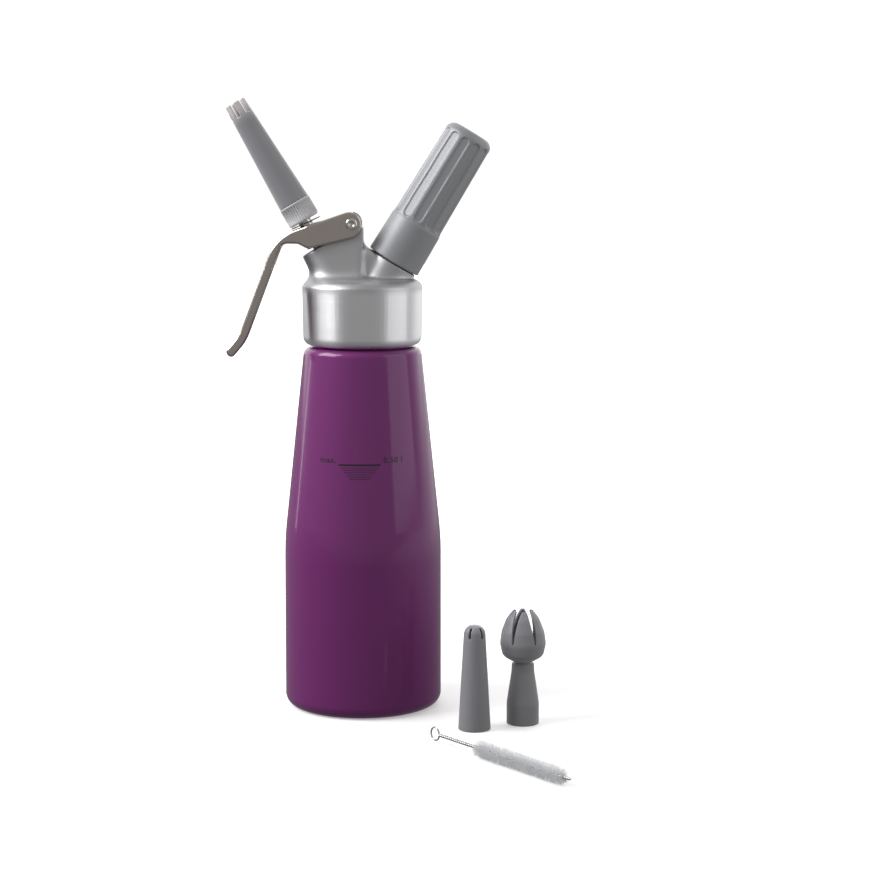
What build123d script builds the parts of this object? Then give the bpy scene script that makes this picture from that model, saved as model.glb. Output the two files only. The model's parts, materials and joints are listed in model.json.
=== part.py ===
"""Whipped-cream dispenser: a half-litre siphon with its spare decorator tips and cleaning brush.

Millimetres. The origin is the centre of the bottle's base, +Z is up, the lever and the spout lean
to -X and the gas charger to +X. Every piece is made where it sits on the assembled dispenser.
"""

import os
from math import cos, radians, sin

from build123d import *

os.makedirs("parts", exist_ok=True)

# ---- Fits and clearances ----
running_gap = 0.08  # radial clearance of a part that slides or turns in a hole
thread_gap = 0.15  # radial clearance between mating threads, which are drawn as plain walls
fixed_gap = 0.02  # radial clearance of a part that is pressed or glued in
seat_gap = 0.4  # open joint line between two visible parts

# ---- Bottle ----
bottle_radius = 40.0
barrel_height = 86.3  # where the straight barrel would meet the straight taper
barrel_blend = 150.0
foot_round = 6.0
shoulder_radius = 29.8
shoulder_height = 184.5
shoulder_round = 3.8
bottle_wall = 1.5
floor_thickness = 2.5
neck_radius = 25.2
neck_wall = 2.4
neck_height = 23.0
neck_thread_depth = 0.9
neck_thread_pitch = 3.0
neck_thread_turns = 4

# ---- Head casting ----
gasket_thickness = 2.0
collar_foot_gap = 0.8  # collar rim above the bottle's shoulder
collar_foot_radius = 30.2
collar_foot_round = 4.5
collar_radius = 30.7
collar_height = 30.4
collar_edge_round = 0.9
dome_edge_inset = 2.2
dome_edge_rise = 2.8
dome_edge_round = 3.0
dome_rise = 5.0
recess_radius = 21.0
recess_depth = 4.5
neck_fillet = 5.0
lug_fillet = 2.0
saddle_half_width = 10.5  # of the web that fills the fork between lug and charger boss
saddle_round = 6.0
saddle_drop = 0.3
saddle_run = 8.0  # along the boss's face, until the boss covers the web
saddle_edge_round = 3.0

# ---- Spout: everything on it is measured along its leaning axis, from the neck's rim ----
spout_lean = -30.45
spout_root_depth = 16.83  # where its axis starts, below the collar's top
spout_rim_distance = 42.65
spout_radius = 10.1
spout_draft = 0.13  # growth of the neck's radius per millimetre towards the dome
spout_length = 30.0
cup_radius = 7.4
cup_depth = 8.0
guide_length = 8.0
valve_seat_depth = 26.0
valve_boss_radius = 9.5
valve_pocket_radius = 8.5
valve_pocket_depth = 8.0
flow_bore_radius = 4.6

# ---- Pivot lug and pin ----
pin_across = 20.05  # from the neck's rim, across the spout's axis
pin_rise = 1.62  # from the neck's rim, along the spout's axis
pin_radius = 2.0
pin_head_radius = 3.1
pin_head_rise = 1.5
lug_round = 4.6
lug_back_reach = 5.75  # from the pin to the lug's face over the charger boss
lug_shoulder_drop = 1.8  # below the pin
lug_half_width = 9.6
lug_pad_reach = 1.3

# ---- Charger boss: measured along its leaning axis, from the boss's face ----
charger_lean = 31.3
charger_root_rise = 2.73  # where its axis starts, above the spout's
boss_face_distance = 30.2
boss_radius = 13.0
boss_length = 24.0
boss_spigot_radius = 11.0
boss_spigot_length = 11.0
charger_socket_gap = 0.25
needle_bed_depth = 4.0
gas_passage_radius = 1.4
needle_radius = 0.9
needle_bore_radius = 0.4
needle_reach = 6.0
insert_flange = 2.0
charger_seal_thickness = 1.9
check_valve_length = 6.0

# ---- Lever: pressed channel ----
lever_sheet = 1.5
lever_half_width = 12.8
lever_grip_half_width = 7.6
lever_end_half_width = 6.6
lever_web_over_pin = 6.5
lever_web_length = 38.7  # from above the pin to the bend
lever_web_slope = 18.9
lever_bend_round = 23.7
lever_grip_length = 55.1
lever_grip_slope = 20.6
lever_grip_depth = 4.5
lever_tip_length = 9.8
lever_tip_slope = 45.0
lever_tip_depth = 5.3
lever_tip_round = 30.0
lever_tip_corner = 2.3
lever_ear_reach = 5.0
lever_belly_drop = 7.2  # the cheeks' lower edge under the pin
lever_belly_slope = 13.0
lever_belly_length = 24.4
lever_arch_slope = 27.0  # the cheeks' hollow behind the neck
lever_arch_length = 5.5
lever_edge_round = 1.2
lever_slot_width = 8.2
lever_slot_travel = 1.6

# ---- Valve ----
stem_radius = 3.5
stem_bore_radius = 1.75
stem_top = 23.2
stem_flange_radius = 6.5
stem_flange_thickness = 2.0
stem_port_radius = 1.3
stem_port_depth = 6.0  # below the guide
seal_thickness = 2.0
oring_section = 1.0
oring_depth = 12.0
retainer_top = 9.2
retainer_radius = 6.9
retainer_plate = 1.4
retainer_skirt = 6.0
retainer_wall = 0.7
retainer_edge_round = 0.8
spring_wire = 1.1
spring_coil_radius = 5.55
spring_turns = 5.5
washer_radius = 7.9
washer_thickness = 0.5
washer_height = 13.7
washer_lean = 6.0

# ---- Tip adapter and decorator tips ----
adapter_bottom = 14.95
adapter_length = 10.4
adapter_radius = 8.25
adapter_chamfer = 0.9
adapter_passage_radius = 2.5
rib_count = 48
rib_depth = 0.3
tip_thread_radius = 5.6
tip_thread_length = 8.4
tip_thread_bore = 3.0
tip_base_radius = 8.05
tip_wall = 1.4
star_tip_length = 58.7
star_tip_end_radius = 5.45
star_notch_turn = 12.0
star_notch_count = 6
star_notch_width = 2.3
star_notch_depth = 7.6
round_tip_height = 52.0
round_tip_end_radius = 5.1
round_slot_count = 5
round_slot_width = 1.1
round_slot_length = 5.2
round_slot_turn = 25.0
tulip_tip_height = 57.0
tulip_end_radius = 5.0
tulip_neck_radius = 5.55
tulip_neck_height = 30.4
tulip_neck_run = 4.1  # the nearly straight top of the neck
tulip_waist_radius = 4.2
tulip_waist_height = 0.5
tulip_bulb_radius = 11.45
tulip_bulb_height = 40.3
tulip_petal_count = 6
tulip_gap_width = 3.4
tulip_gap_depth = 16.0

# ---- Charger and its holder ----
cartridge_radius = 9.3
cartridge_length = 66.0
cartridge_neck_radius = 4.35
cartridge_neck_length = 9.5
cartridge_shoulder_length = 10.0
cartridge_wall = 1.8
cartridge_tip_height = 4.0
holder_length = 76.7
holder_band_radius = 14.2
holder_band_top_radius = 13.7
holder_band_length = 22.5
holder_grip_radius = 13.4
holder_end_radius = 12.6
holder_end_round = 4.6
holder_end_wall = 3.0
liner_wall = 1.1
liner_thread_run = 2.0  # past the end of the boss's spigot
liner_gap = 0.3  # between the liner and the cartridge
groove_count = 12
groove_turn = 26.0
groove_width = 4.4
groove_depth = 0.7
groove_margin = 1.0
groove_length = 49.0

# ---- Where the loose accessories stand and lie ----
round_tip_x = 55.5
round_tip_y = -55.0
tulip_tip_x = 79.9
tulip_tip_y = -44.2
brush_x = 37.6
brush_y = -83.0
brush_angle = -52.6
brush_length = 94.0
brush_wire_radius = 0.85
bristle_start = 29.0
bristle_length = 61.0
bristle_radius = 4.5
loop_radius = 3.1
loop_wire_radius = 0.4

# ---- Heights that follow from the driving dimensions ----
neck_top = shoulder_height + neck_height
neck_crest = neck_radius + neck_thread_depth
mouth_radius = neck_radius - neck_wall
ceiling = neck_top + gasket_thickness
collar_bottom = shoulder_height + collar_foot_gap
collar_top = collar_bottom + collar_height
collar_bore = neck_crest + thread_gap
dome_edge = collar_top + dome_edge_rise
dome_top = collar_top + dome_rise


# ---- Frames ----
def leaning_frame(root_height, distance, lean):
    """A frame on an axis that starts on the bottle's axis and leans to +X by lean degrees."""
    out = Vector(sin(radians(lean)), 0, cos(radians(lean)))
    across = Vector(cos(radians(lean)), 0, -sin(radians(lean)))
    return Plane(origin=Vector(0, 0, root_height) + out * distance, x_dir=across, z_dir=out)


upright = Plane.XY
spout = leaning_frame(collar_top - spout_root_depth, spout_rim_distance, spout_lean)
charger = leaning_frame(
    collar_top - spout_root_depth + charger_root_rise, boss_face_distance, charger_lean
)
pivot = spout.origin + spout.x_dir * pin_across + spout.z_dir * pin_rise
round_tip_place = Plane(origin=(round_tip_x, round_tip_y, 0))
tulip_tip_place = Plane(origin=(tulip_tip_x, tulip_tip_y, 0))
brush_heading = Vector(cos(radians(brush_angle)), sin(radians(brush_angle)), 0)
brush_place = Plane(origin=(brush_x, brush_y, bristle_radius), x_dir=(0, 0, 1), z_dir=brush_heading)


def axis_of(frame):
    """The line along a frame's Z."""
    return Axis(frame.origin, frame.z_dir)


def half_plane(frame):
    """The plane that holds a frame's axis: local X runs across it, local Y along it."""
    return Plane(origin=frame.origin, x_dir=frame.x_dir, z_dir=-frame.y_dir)


def outline(plane, *corners):
    """A closed face from its corners. Each is (x, y), or (x, y, rounding)."""
    with BuildSketch(plane) as face:
        with BuildLine():
            points = [corner[:2] for corner in corners]
            rounds = [corner[2] if len(corner) > 2 else 0 for corner in corners]
            FilletPolyline(*points, radius=rounds, close=True)
        make_face()
    return face.sketch


def turn(frame, *corners, mode=Mode.ADD):
    """A turned solid: the corners are (radius, height) on the frame's axis."""
    return revolve(outline(half_plane(frame), *corners), axis=axis_of(frame), mode=mode)


def save(builder, name):
    """Label a finished piece and write it as one STEP file."""
    builder.part.label = name
    export_step(builder.part, f"parts/{name}.step")


# ---- Bottle ----
with BuildPart() as bottle:
    turn(
        upright,
        (0, 0),
        (bottle_radius, 0, foot_round),
        (bottle_radius, barrel_height, barrel_blend),
        (shoulder_radius, shoulder_height, shoulder_round),
        (neck_radius, shoulder_height, 0.6),
        (neck_radius, neck_top, 0.5),
        (mouth_radius, neck_top, 0.5),
        (mouth_radius, shoulder_height - neck_wall, 1.5),
        (shoulder_radius - bottle_wall, shoulder_height - neck_wall, shoulder_round - bottle_wall),
        (bottle_radius - bottle_wall, barrel_height, barrel_blend),
        (bottle_radius - bottle_wall, floor_thickness, foot_round - bottle_wall),
        (0, floor_thickness),
    )
    for turn_index in range(neck_thread_turns):
        ridge = neck_top - neck_thread_pitch * (turn_index + 1)
        turn(
            upright,
            (neck_radius - 0.5, ridge - 0.8),
            (neck_radius, ridge - 0.8),
            (neck_crest, ridge - 0.3),
            (neck_crest, ridge + 0.3),
            (neck_radius, ridge + 0.8),
            (neck_radius - 0.5, ridge + 0.8),
        )
save(bottle, "bottle")

# ---- Head gasket: a flat ring pressed between the bottle's mouth and the head ----
with BuildPart() as head_gasket:
    turn(
        upright,
        (mouth_radius + 0.1, neck_top),
        (neck_crest - 0.1, neck_top),
        (neck_crest - 0.1, ceiling),
        (mouth_radius + 0.1, ceiling),
    )
save(head_gasket, "head_gasket")


# ---- Head casting: collar and dome, leaning spout neck with the pivot lug, charger boss ----
pin_place = Plane(origin=pivot, x_dir=(1, 0, 0), z_dir=(0, 1, 0))
guide_radius = stem_radius + running_gap
neck_reach = (pivot.X - spout.origin.X) / cos(radians(spout_lean)) + lug_round
lug_back = pivot.X + lug_back_reach
lug_shoulder = pivot.Z - lug_shoulder_drop
socket_radius = cartridge_neck_radius + charger_socket_gap
check_valve_radius = socket_radius - 1.0
check_valve_depth = needle_bed_depth + 9.0


def neck_section(depth):
    """The spout neck's section, a stadium from the spout's axis to past the pivot."""
    with BuildSketch(spout.offset(-depth)) as section:
        with Locations((neck_reach / 2, 0)):
            SlotCenterToCenter(neck_reach, 2 * (spout_radius + spout_draft * depth))
    return section.sketch


with BuildPart() as neck:
    loft([neck_section(0), neck_section(spout_length)])
    with BuildSketch(Plane.XZ) as right_of_the_lug:
        with BuildLine():
            Polyline(
                (lug_back, 0),
                (lug_back, lug_shoulder),
                (pivot.X - lug_round, lug_shoulder),
                (pivot.X - lug_round, 2 * pivot.Z),
                (pivot.Z, 2 * pivot.Z),
                (pivot.Z, 0),
                close=True,
            )
        make_face()
    extrude(amount=bottle_radius, both=True, mode=Mode.SUBTRACT)
    with BuildSketch(Plane.XZ) as lug_profile:
        with Locations((pivot.X, pivot.Z)):
            Circle(lug_round)
        with Locations((pivot.X, pivot.Z - lug_round)):
            Rectangle(2 * lug_round, 2 * lug_round)
    extrude(amount=lug_half_width, both=True)
    with BuildSketch(Plane.XZ) as pad_profile:
        with Locations((pivot.X, pivot.Z)):
            Circle(lug_round - 0.4)
    extrude(amount=lug_half_width + lug_pad_reach, both=True)

boss_corner = charger.origin - charger.x_dir * boss_radius - charger.z_dir * saddle_drop
fork = boss_corner - charger.x_dir * ((boss_corner.X - lug_back) / charger.x_dir.X)
saddle_end = boss_corner + charger.x_dir * saddle_run
with BuildPart() as saddle:
    with BuildSketch(Plane.XZ) as saddle_profile:
        with BuildLine():
            FilletPolyline(
                (lug_back, fork.Z + saddle_round),
                (lug_back, fork.Z),
                (saddle_end.X, saddle_end.Z),
                (saddle_end.X, collar_top),
                (lug_back - lug_round, collar_top),
                (lug_back - lug_round, fork.Z + saddle_round),
                radius=[0, saddle_round, 0, 0, 0, 0],
                close=True,
            )
        make_face()
    extrude(amount=saddle_half_width, both=True)
    hollow_rim = edges().filter_by(
        lambda edge: abs(edge.center().Y) > 1 and lug_back - 0.1 < edge.center().X < saddle_end.X - 0.1
    )
    fillet(hollow_rim.filter_by(lambda edge: edge.center().Z > collar_top + 1), radius=saddle_edge_round)

with BuildPart() as head:
    turn(
        upright,
        (0, collar_bottom),
        (collar_foot_radius, collar_bottom, collar_foot_round),
        (collar_radius, collar_top, collar_edge_round),
        (collar_radius - dome_edge_inset, dome_edge, dome_edge_round),
        (0, dome_top),
    )
    turn(charger, (0, -boss_length), (boss_radius, -boss_length), (boss_radius, 0, 0.5), (0, 0))
    add(neck.part)
    junction = edges(Select.NEW)
    lug_edge = junction.sort_by(Axis.X)[-3:].sort_by(SortBy.LENGTH)[-1]
    fillet(junction.filter_by(lambda edge: edge.center().X < lug_back - 0.1), radius=neck_fillet)
    fillet(edges().sort_by_distance(lug_edge.center())[0], radius=lug_fillet)
    add(saddle.part)
    turn(
        charger,
        (0, -1),
        (boss_spigot_radius, -1),
        (boss_spigot_radius, boss_spigot_length, 0.8),
        (0, boss_spigot_length),
    )
    # The collar's bore, the recess over the bottle's mouth and the valve's seat in it
    turn(
        upright,
        (0, 0),
        (collar_bore, 0),
        (collar_bore, ceiling),
        (recess_radius, ceiling),
        (recess_radius - 2, ceiling + recess_depth, 1),
        (0, ceiling + recess_depth),
        mode=Mode.SUBTRACT,
    )
    turn(
        spout,
        (0, -valve_seat_depth),
        (valve_boss_radius, -valve_seat_depth, 0.5),
        (valve_boss_radius, -cup_depth - guide_length),
        (0, -cup_depth - guide_length),
    )
    # Down the spout: the spring's cup, the stem's guide and the cream's bore
    turn(
        spout,
        (0, 2 * lug_round),
        (cup_radius, 2 * lug_round),
        (cup_radius, -cup_depth),
        (guide_radius, -cup_depth),
        (guide_radius, -cup_depth - guide_length),
        (flow_bore_radius, -cup_depth - guide_length),
        (flow_bore_radius, -valve_seat_depth),
        (0, -valve_seat_depth),
        mode=Mode.SUBTRACT,
    )
    turn(
        spout,
        (0, -valve_seat_depth),
        (valve_pocket_radius, -valve_seat_depth),
        (valve_pocket_radius, -valve_seat_depth - valve_pocket_depth),
        (0, -valve_seat_depth - valve_pocket_depth),
        mode=Mode.SUBTRACT,
    )
    # Down the charger boss: the cartridge's socket, the gas passage and the check valve's bed
    turn(
        charger,
        (0, boss_spigot_length + 1),
        (socket_radius, boss_spigot_length + 1),
        (socket_radius, -needle_bed_depth),
        (gas_passage_radius, -needle_bed_depth),
        (gas_passage_radius, -check_valve_depth),
        (check_valve_radius, -check_valve_depth),
        (check_valve_radius, -boss_length),
        (0, -boss_length),
        mode=Mode.SUBTRACT,
    )
    turn(
        pin_place,
        (0, -bottle_radius),
        (pin_radius + fixed_gap, -bottle_radius),
        (pin_radius + fixed_gap, bottle_radius),
        (0, bottle_radius),
        mode=Mode.SUBTRACT,
    )
save(head, "head")

# ---- Lever pin: pressed through the lug, with a domed head outside each cheek ----
pin_shoulder = lever_half_width + running_gap * 2
pin_end = pin_shoulder + pin_head_rise
with BuildPart() as lever_pin:
    turn(
        pin_place,
        (0, -pin_end),
        (pin_head_radius, -pin_end, pin_head_rise * 0.9),
        (pin_head_radius, -pin_shoulder),
        (pin_radius, -pin_shoulder),
        (pin_radius, pin_shoulder),
        (pin_head_radius, pin_shoulder),
        (pin_head_radius, pin_end, pin_head_rise * 0.9),
        (0, pin_end),
    )
save(lever_pin, "lever_pin")


# ---- Lever: a channel pressed from sheet, its web on top, its flanges down ----
def heading(angle):
    """A unit direction in the XZ plane: 0 is +X, 90 is +Z."""
    return Vector(cos(radians(angle)), sin(radians(angle)))


web_out = heading(180 + lever_web_slope)
grip_out = heading(270 - lever_grip_slope)
tip_out = heading(270 - lever_tip_slope)
web_under = heading(lever_web_slope - 90)
grip_under = heading(-lever_grip_slope)
tip_under = heading(-lever_tip_slope)
over_pin = Vector(pivot.X, pivot.Z) - web_under * lever_web_over_pin
bend = over_pin + web_out * lever_web_length
tip_bend = bend + grip_out * lever_grip_length
tip_end = tip_bend + tip_out * lever_tip_length
ear_x = pivot.X + lever_ear_reach
ear_top = over_pin - web_out * ((ear_x - over_pin.X) / cos(radians(lever_web_slope)))
belly_out = heading(180 + lever_belly_slope)
under_pin = Vector(pivot.X, pivot.Z) + heading(lever_belly_slope - 90) * lever_belly_drop
belly_end = under_pin + belly_out * lever_belly_length
ear_foot = under_pin - belly_out * ((ear_x - under_pin.X) / cos(radians(lever_belly_slope)))


def inside_corner(corner, normal, other_normal, inset):
    """The corner of two lines after both move in by inset along their normals."""
    return corner + (normal + other_normal) * (inset / (1 + normal.dot(other_normal)))


def pair(point):
    """A vector in the side view as a plain (x, z)."""
    return (point.X, point.Y)


grip_inner_top = inside_corner(bend, web_under, grip_under, lever_grip_depth)
arch_end = belly_end + heading(180 - lever_arch_slope) * lever_arch_length


def lever_plan(inset):
    """The lever seen from above, narrowing to the grip, drawn in by inset all round."""
    wide = lever_half_width - inset
    grip = lever_grip_half_width - inset
    end = lever_end_half_width - inset
    near = belly_end.X + inset / 2
    far = bend.X - 3 + inset / 2
    with BuildSketch(Plane.XY) as plan_view:
        with BuildLine():
            FilletPolyline(
                (bottle_radius, wide),
                (near, wide),
                (far, grip),
                (tip_end.X - 5, end),
                (tip_end.X - 5, -end),
                (far, -grip),
                (near, -wide),
                (bottle_radius, -wide),
                radius=[0, 16 - inset, 20 + inset, 0, 0, 20 + inset, 16 - inset, 0],
                close=True,
            )
        make_face()
    return plan_view.sketch


def along_the_web(edge):
    """True for the long edges between the web and the flanges, where the sheet is bent over."""
    middle = edge.center()
    place = Vector(middle.X, middle.Z)
    crosses = abs(edge.tangent_at(0.5).Y) > 0.9
    depths = [
        (place - over_pin).dot(web_under),
        (place - bend).dot(grip_under),
        (place - tip_end).dot(tip_under),
    ]
    at_the_tip = place.X < tip_end.X + 1
    return not crosses and not at_the_tip and min(depths) < lever_tip_depth - 0.4


with BuildPart() as channel_hollow:
    with BuildSketch(Plane.XZ) as under_the_web:
        inner_end = tip_end - tip_out * lever_sheet + tip_under * lever_sheet
        with BuildLine():
            FilletPolyline(
                pair(over_pin - web_out * pin_head_radius * 6 + web_under * lever_sheet),
                pair(inside_corner(bend, web_under, grip_under, lever_sheet)),
                pair(inside_corner(tip_bend, grip_under, tip_under, lever_sheet)),
                pair(inner_end),
                pair(inner_end + tip_under * lever_grip_length / 2),
                pair(Vector(bottle_radius, tip_end.Y)),
                radius=[
                    0,
                    lever_bend_round - lever_sheet,
                    lever_tip_round + lever_sheet,
                    0.5,
                    0,
                    0,
                ],
                close=True,
            )
        make_face()
    extrude(amount=lever_half_width, both=True)
    add(extrude(lever_plan(lever_sheet), amount=2 * pivot.Z, mode=Mode.PRIVATE), mode=Mode.INTERSECT)

with BuildPart() as lever:
    with BuildSketch(Plane.XZ) as side_view:
        with BuildLine():
            FilletPolyline(
                pair(ear_top),
                pair(bend),
                pair(tip_bend),
                pair(tip_end),
                pair(tip_end + tip_under * lever_tip_depth),
                pair(inside_corner(tip_bend, grip_under, tip_under, lever_grip_depth)),
                pair(grip_inner_top),
                pair(arch_end),
                pair(belly_end),
                pair(ear_foot),
                radius=[
                    6.2,
                    lever_bend_round,
                    lever_tip_round,
                    lever_tip_corner,
                    lever_tip_corner,
                    26,
                    4.5,
                    3.5,
                    3,
                    7,
                ],
                close=True,
            )
        make_face()
    extrude(amount=lever_half_width, both=True)
    add(extrude(lever_plan(0), amount=2 * pivot.Z, mode=Mode.PRIVATE), mode=Mode.INTERSECT)
    fillet(edges().filter_by(along_the_web), radius=lever_edge_round)
    add(channel_hollow.part, mode=Mode.SUBTRACT)
    with BuildSketch(spout.offset(-cup_depth)) as stem_slot:
        with Locations((lever_slot_travel / 2, 0)):
            SlotCenterToCenter(lever_slot_travel, lever_slot_width)
    extrude(amount=stem_top, mode=Mode.SUBTRACT)
    turn(
        pin_place,
        (0, -bottle_radius),
        (pin_radius + running_gap, -bottle_radius),
        (pin_radius + running_gap, bottle_radius),
        (0, bottle_radius),
        mode=Mode.SUBTRACT,
    )
save(lever, "lever")

# ---- Valve: hollow stem with its plug flange, flat seal, O-ring, spring and retainer ----
flange_top = -valve_seat_depth - seal_thickness
flange_bottom = flange_top - stem_flange_thickness
port_height = -cup_depth - guide_length - stem_port_depth + 2
groove_radius = stem_radius - oring_section
with BuildPart() as valve_stem:
    turn(
        spout,
        (0, flange_bottom),
        (stem_flange_radius, flange_bottom, 0.5),
        (stem_flange_radius, flange_top, 0.2),
        (stem_radius, flange_top),
        (stem_radius, -oring_depth - oring_section * 0.65),
        (groove_radius, -oring_depth - oring_section * 0.65),
        (groove_radius, -oring_depth + oring_section * 0.65),
        (stem_radius, -oring_depth + oring_section * 0.65),
        (stem_radius, stem_top, 0.5),
        (stem_bore_radius, stem_top),
        (stem_bore_radius, port_height - stem_bore_radius),
        (0, port_height - stem_bore_radius),
    )
    port_centre = spout.origin + spout.z_dir * port_height
    with BuildSketch(Plane.XZ) as cross_port:
        with Locations((port_centre.X, port_centre.Z)):
            Circle(stem_port_radius)
    extrude(amount=stem_flange_radius, both=True, mode=Mode.SUBTRACT)
save(valve_stem, "valve_stem")

with BuildPart() as stem_seal:
    turn(
        spout,
        (stem_radius + running_gap, flange_top),
        (stem_flange_radius - 0.2, flange_top),
        (stem_flange_radius - 0.2, flange_top + seal_thickness),
        (stem_radius + running_gap, flange_top + seal_thickness),
    )
save(stem_seal, "stem_seal")

with BuildPart() as stem_oring:
    with BuildSketch(half_plane(spout)) as oring_ring:
        with Locations((groove_radius + oring_section / 2 + fixed_gap, -oring_depth)):
            Circle(oring_section / 2)
    revolve(axis=axis_of(spout))
save(stem_oring, "stem_oring")

spring_foot = -cup_depth + spring_wire / 2
spring_reach = retainer_top - retainer_plate - spring_wire / 2 - spring_foot
with BuildPart() as return_spring:
    with BuildLine() as coil:
        Helix(
            pitch=spring_reach / spring_turns,
            height=spring_reach,
            radius=spring_coil_radius,
            center=spout.origin + spout.z_dir * spring_foot,
            direction=spout.z_dir,
        )
    with BuildSketch(Plane(origin=coil.line @ 0, z_dir=coil.line % 0)) as wire_section:
        Circle(spring_wire / 2)
    sweep(path=coil.line, is_frenet=True)
save(return_spring, "return_spring")

with BuildPart() as spring_retainer:
    turn(
        spout,
        (stem_radius + fixed_gap, retainer_top),
        (retainer_radius, retainer_top, retainer_edge_round),
        (retainer_radius, retainer_top - retainer_skirt),
        (retainer_radius - retainer_wall, retainer_top - retainer_skirt),
        (retainer_radius - retainer_wall, retainer_top - retainer_plate),
        (stem_radius + fixed_gap, retainer_top - retainer_plate),
    )
save(spring_retainer, "spring_retainer")

washer_place = spout.offset(washer_height).rotated((0, washer_lean, 0))
with BuildPart() as lever_washer:
    turn(
        washer_place,
        (stem_radius + seat_gap, -washer_thickness / 2),
        (washer_radius, -washer_thickness / 2, 0.1),
        (washer_radius, washer_thickness / 2, 0.1),
        (stem_radius + seat_gap, washer_thickness / 2),
    )
save(lever_washer, "lever_washer")

# ---- Tip adapter: a finely ribbed ring on the stem with the thread for the decorator tips ----
adapter_top = adapter_bottom + adapter_length
with BuildPart() as tip_adapter:
    turn(
        spout,
        (stem_radius + running_gap, adapter_bottom),
        (adapter_radius - adapter_chamfer, adapter_bottom),
        (adapter_radius, adapter_bottom + adapter_chamfer),
        (adapter_radius, adapter_top, 0.3),
        (tip_thread_radius, adapter_top),
        (tip_thread_radius, adapter_top + tip_thread_length, 0.5),
        (tip_thread_bore, adapter_top + tip_thread_length),
        (tip_thread_bore, adapter_top),
        (adapter_passage_radius, adapter_top - 1),
        (adapter_passage_radius, stem_top + running_gap),
        (stem_radius + running_gap, stem_top + running_gap),
    )
    with BuildSketch(spout.offset(adapter_bottom)) as between_ribs:
        with PolarLocations(adapter_radius, rib_count):
            Circle(rib_depth)
    extrude(amount=adapter_length, mode=Mode.SUBTRACT)
save(tip_adapter, "tip_adapter")

# ---- Decorator tips: one socket fits all three ----
tip_socket_radius = tip_thread_radius + thread_gap
tip_socket_depth = tip_thread_length + 1.0
tip_passage_radius = tip_socket_radius - 0.6
star_tip_place = spout.offset(adapter_top)

with BuildPart() as star_tip:
    turn(
        star_tip_place,
        (tip_socket_radius, 0),
        (tip_base_radius, 0, 0.3),
        (star_tip_end_radius, star_tip_length, 0.4),
        (star_tip_end_radius - tip_wall, star_tip_length),
        (tip_passage_radius, tip_socket_depth),
        (tip_socket_radius, tip_socket_depth),
    )
    with BuildSketch(star_tip_place.offset(star_tip_length)) as notches:
        with PolarLocations(star_tip_end_radius, star_notch_count, start_angle=star_notch_turn):
            Rectangle(star_tip_end_radius, star_notch_width)
    extrude(amount=-star_notch_depth, mode=Mode.SUBTRACT)
save(star_tip, "star_tip")

dome_base = round_tip_height - round_tip_end_radius
with BuildPart() as round_tip:
    turn(
        round_tip_place,
        (tip_socket_radius, 0),
        (tip_base_radius, 0, 0.3),
        (round_tip_end_radius, round_tip_height, round_tip_end_radius * 0.93),
        (0, round_tip_height),
        (0, round_tip_height - tip_wall),
        (round_tip_end_radius - tip_wall, round_tip_height - tip_wall, 3.4),
        (tip_passage_radius, tip_socket_depth),
        (tip_socket_radius, tip_socket_depth),
    )
    with BuildSketch(round_tip_place.offset(dome_base - 1.3)) as slots:
        with PolarLocations(round_tip_end_radius, round_slot_count, start_angle=round_slot_turn):
            Rectangle(round_tip_end_radius, round_slot_width)
    extrude(amount=round_slot_length, mode=Mode.SUBTRACT)
save(round_tip, "round_tip")

tulip_ledge = tulip_neck_radius - tulip_waist_radius
tulip_passage = tulip_waist_radius - tip_wall
tulip_waist_top = tulip_neck_height + tulip_waist_height
with BuildPart() as tulip_tip:
    turn(
        tulip_tip_place,
        (tip_socket_radius, 0),
        (tip_base_radius, 0, 0.3),
        (tip_base_radius, tip_socket_depth + 1, 9),
        (tulip_neck_radius + 0.15, tulip_neck_height - tulip_neck_run, 12),
        (tulip_neck_radius, tulip_neck_height, 0.2),
        (tulip_waist_radius, tulip_neck_height),
        (tulip_waist_radius, tulip_waist_top),
        (tulip_bulb_radius - tulip_ledge, tulip_waist_top + 3.4, 4),
        (tulip_bulb_radius, tulip_bulb_height, 7),
        (tulip_bulb_radius - 0.85, tulip_bulb_height + 6.2, 8),
        (tulip_bulb_radius - 3.2, tulip_bulb_height + 12.4, 8),
        (tulip_end_radius, tulip_tip_height, 0.6),
        (tulip_end_radius - tip_wall, tulip_tip_height - 0.6, 0.3),
        (tulip_bulb_radius - 3.2 - tip_wall, tulip_bulb_height + 11.6, 6),
        (tulip_bulb_radius - 0.85 - tip_wall, tulip_bulb_height + 6, 6),
        (tulip_bulb_radius - tip_wall, tulip_bulb_height, 5),
        (tulip_bulb_radius - tulip_ledge - tip_wall, tulip_waist_top + 4.9, 2.5),
        (tulip_passage, tulip_waist_top + 1.5, 1),
        (tulip_passage, tulip_neck_height - tip_wall, 1),
        (tip_passage_radius, tip_socket_depth),
        (tip_socket_radius, tip_socket_depth),
    )
    for petal in range(tulip_petal_count):
        gap_angle = 360 / tulip_petal_count * petal
        gap_out = Vector(cos(radians(gap_angle)), sin(radians(gap_angle)), 0)
        gap_plane = Plane(
            origin=tulip_tip_place.origin + Vector(0, 0, tulip_tip_height),
            x_dir=Vector(0, 0, 1).cross(gap_out),
            z_dir=gap_out,
        )
        with BuildSketch(gap_plane) as gap:
            with BuildLine():
                FilletPolyline(
                    (tulip_gap_width / 2, 1),
                    (-tulip_gap_width / 2, 1),
                    (-0.3, -tulip_gap_depth),
                    (0.3, -tulip_gap_depth),
                    radius=[0, 0, 0.25, 0.25],
                    close=True,
                )
            make_face()
        extrude(amount=bottle_radius / 2, mode=Mode.SUBTRACT)
save(tulip_tip, "tulip_tip")

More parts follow.
